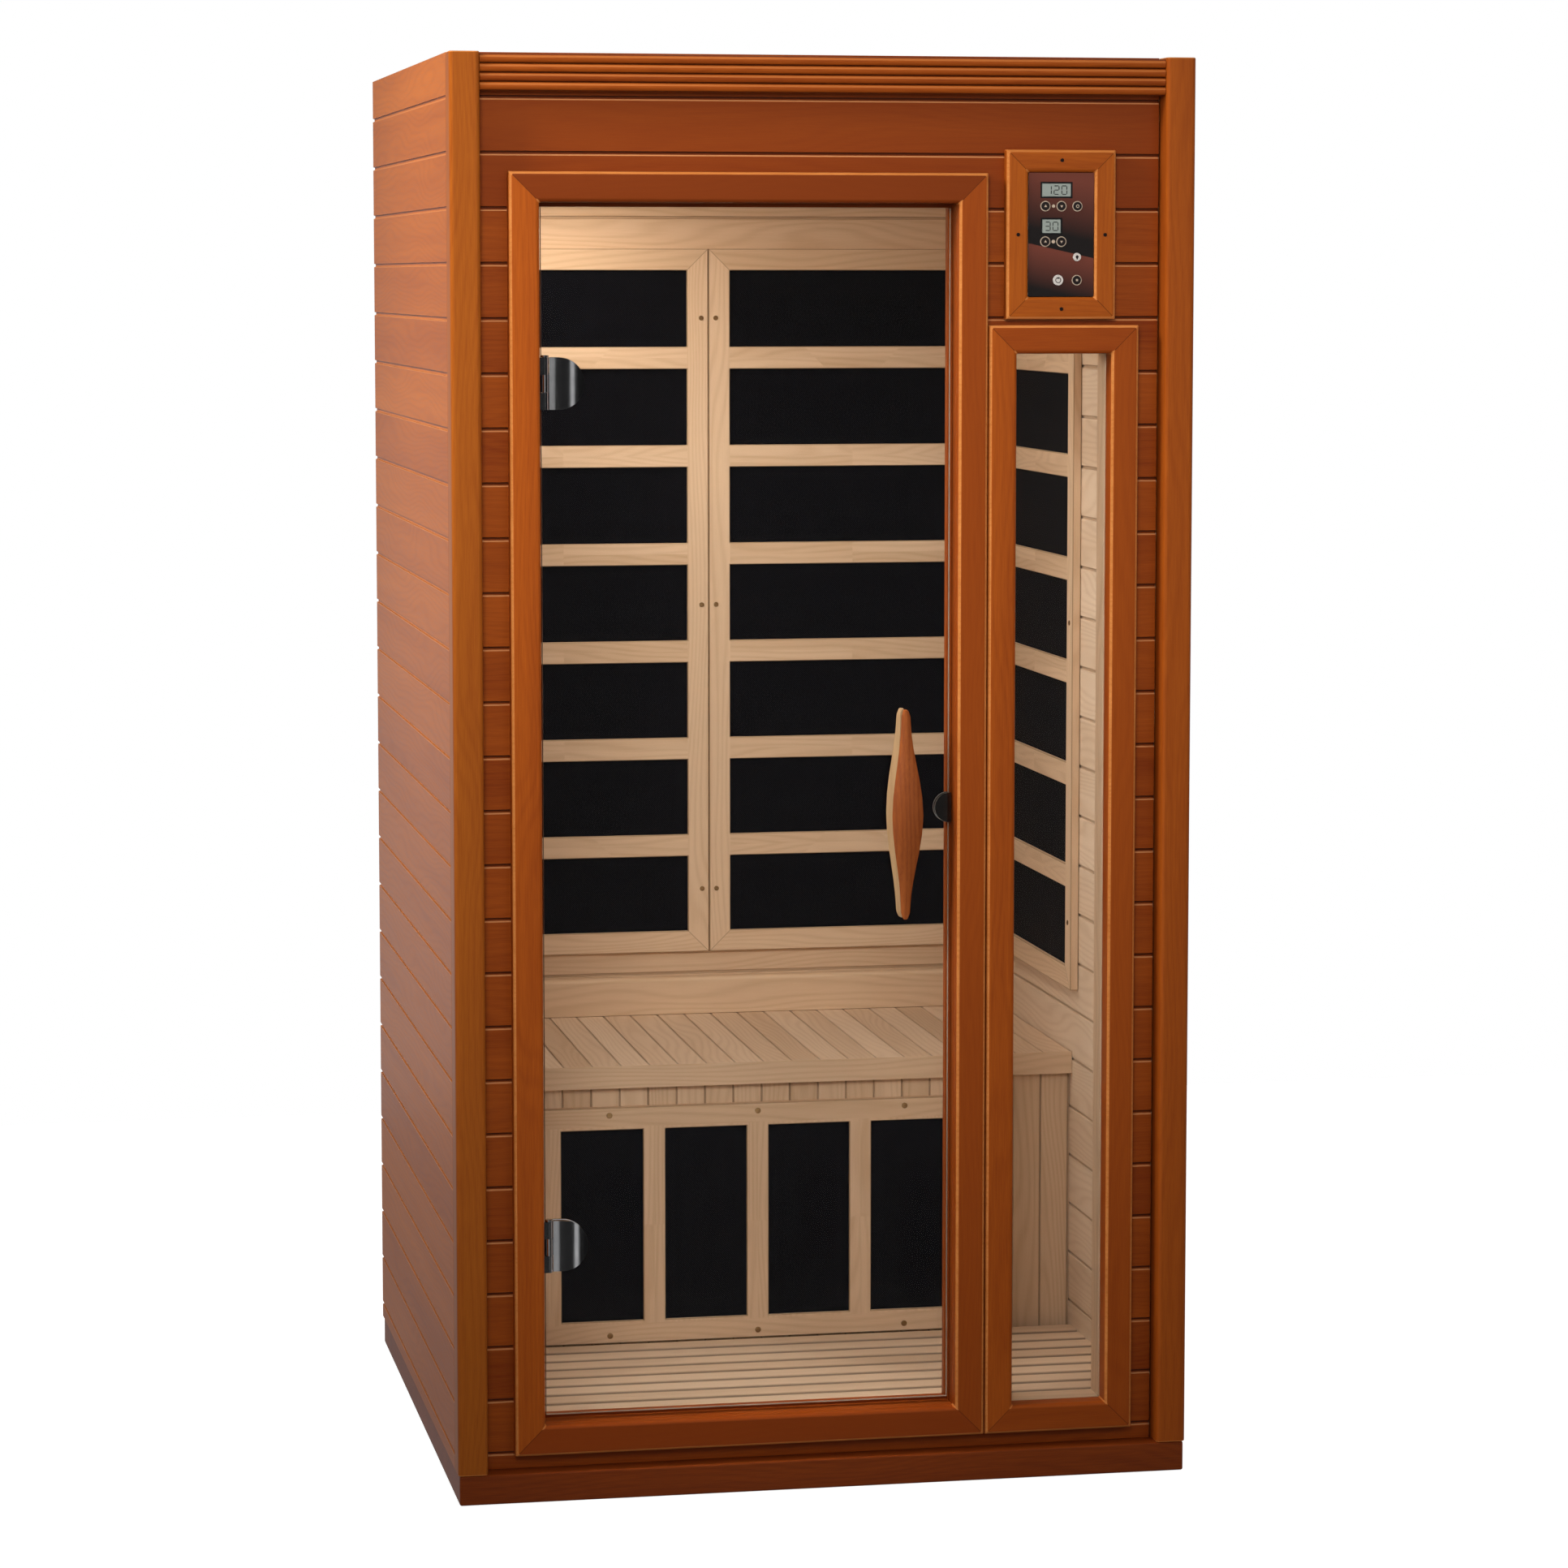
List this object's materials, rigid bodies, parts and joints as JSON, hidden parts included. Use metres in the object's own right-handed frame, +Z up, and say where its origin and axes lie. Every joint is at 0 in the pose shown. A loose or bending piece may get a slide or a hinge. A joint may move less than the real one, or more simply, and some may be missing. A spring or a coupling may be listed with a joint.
{
  "type": "infrared sauna cabin",
  "caption": "Free-standing boarded infrared sauna cabin with a glass door, a tall side window, a bench, grilled heaters and a push-button control panel.",
  "frame": {"origin": "middle of the base, on the floor", "axes": "+Z up, -Y out of the front, +X to the right as seen from the front"},
  "size_m": [0.99, 0.96, 1.9],
  "materials": {
    "cherry_wood": "satin cherry stain",
    "dark_cherry_wood": "satin dark cherry stain",
    "hemlock_wood": "bare planed hemlock",
    "clear_glass": "clear tempered glass with polished edges",
    "carbon_fabric": "black woven carbon panel",
    "chrome": "polished chrome",
    "grey_metal": "plain grey",
    "black_plastic": "matt moulded",
    "fascia_print": "printed maroon film",
    "display": "grey number display",
    "white_plastic": "satin white moulded"
  },
  "bodies": {
    "cabin": {"base_plinth": "dark_cherry_wood", "floor_duckboard": "hemlock_wood", "left_wall": "cherry_wood", "right_wall": "cherry_wood", "back_wall": "cherry_wood", "front_wall": "cherry_wood", "corner_post_left": "cherry_wood", "corner_post_right": "cherry_wood", "cornice_moulding": "dark_cherry_wood", "ceiling_panel": "hemlock_wood", "roof_cover": "hemlock_wood", "power_unit": "grey_metal", "cable_gland": "black_plastic", "ceiling_lamp": "white_plastic", "door_architrave": "cherry_wood", "door_jamb": "dark_cherry_wood", "door_inner_trim": "hemlock_wood", "magnet_catch": "black_plastic", "window_architrave": "cherry_wood", "window_lining": "hemlock_wood", "window_glass": "clear_glass", "hinge_leaf_upper": "chrome", "hinge_leaf_lower": "chrome", "hinge_pin_upper": "chrome", "hinge_pin_lower": "chrome", "grille_back_left": "hemlock_wood", "grille_back_right": "hemlock_wood", "grille_left": "hemlock_wood", "grille_right": "hemlock_wood", "grille_calf": "hemlock_wood", "heater_back_left": "carbon_fabric", "heater_back_right": "carbon_fabric", "heater_left": "carbon_fabric", "heater_right": "carbon_fabric", "heater_calf": "carbon_fabric", "bench_top": "hemlock_wood", "bench_front": "hemlock_wood", "bench_back_rail": "hemlock_wood", "control_bezel": "cherry_wood", "control_fascia": "fascia_print", "control_board": "display"},
    "door": {"door_glass": "clear_glass", "hinge_plate_upper": "chrome", "hinge_plate_lower": "chrome", "hinge_clamp_upper": "chrome", "hinge_clamp_lower": "chrome", "handle_outer": "cherry_wood", "handle_inner": "hemlock_wood", "handle_bolt_upper": "grey_metal", "handle_bolt_lower": "grey_metal", "strike_clamp": "chrome"},
    "vent_shutter": {"vent_shutter": "hemlock_wood"},
    "button_temperature_up": {"button_temperature_up": "black_plastic"},
    "button_temperature_down": {"button_temperature_down": "black_plastic"},
    "button_unit": {"button_unit": "black_plastic"},
    "button_time_up": {"button_time_up": "black_plastic"},
    "button_time_down": {"button_time_down": "black_plastic"},
    "button_light": {"button_light": "black_plastic"},
    "button_power": {"button_power": "white_plastic"},
    "button_audio": {"button_audio": "black_plastic"}
  },
  "joints": [
    {"name": "door_hinge", "type": "hinge", "parent": "cabin", "child": "door", "pos_m": [-0.3685, -0.4421, 0.9], "axis": [0, 0, -1], "range_deg": [0, 100]},
    {"name": "vent_slide", "type": "slide", "parent": "cabin", "child": "vent_shutter", "axis": [1, 0, 0], "range_m": [0, 0.11]},
    {"name": "temperature_up_press", "type": "slide", "parent": "cabin", "child": "button_temperature_up", "axis": [0, 1, 0], "range_m": [0, 0.001], "stiffness_N_per_m": 400},
    {"name": "temperature_down_press", "type": "slide", "parent": "cabin", "child": "button_temperature_down", "axis": [0, 1, 0], "range_m": [0, 0.001], "stiffness_N_per_m": 400},
    {"name": "unit_press", "type": "slide", "parent": "cabin", "child": "button_unit", "axis": [0, 1, 0], "range_m": [0, 0.001], "stiffness_N_per_m": 400},
    {"name": "time_up_press", "type": "slide", "parent": "cabin", "child": "button_time_up", "axis": [0, 1, 0], "range_m": [0, 0.001], "stiffness_N_per_m": 400},
    {"name": "time_down_press", "type": "slide", "parent": "cabin", "child": "button_time_down", "axis": [0, 1, 0], "range_m": [0, 0.001], "stiffness_N_per_m": 400},
    {"name": "light_press", "type": "slide", "parent": "cabin", "child": "button_light", "axis": [0, 1, 0], "range_m": [0, 0.001], "stiffness_N_per_m": 400},
    {"name": "power_press", "type": "slide", "parent": "cabin", "child": "button_power", "axis": [0, 1, 0], "range_m": [0, 0.001], "stiffness_N_per_m": 400},
    {"name": "audio_press", "type": "slide", "parent": "cabin", "child": "button_audio", "axis": [0, 1, 0], "range_m": [0, 0.001], "stiffness_N_per_m": 400}
  ]
}
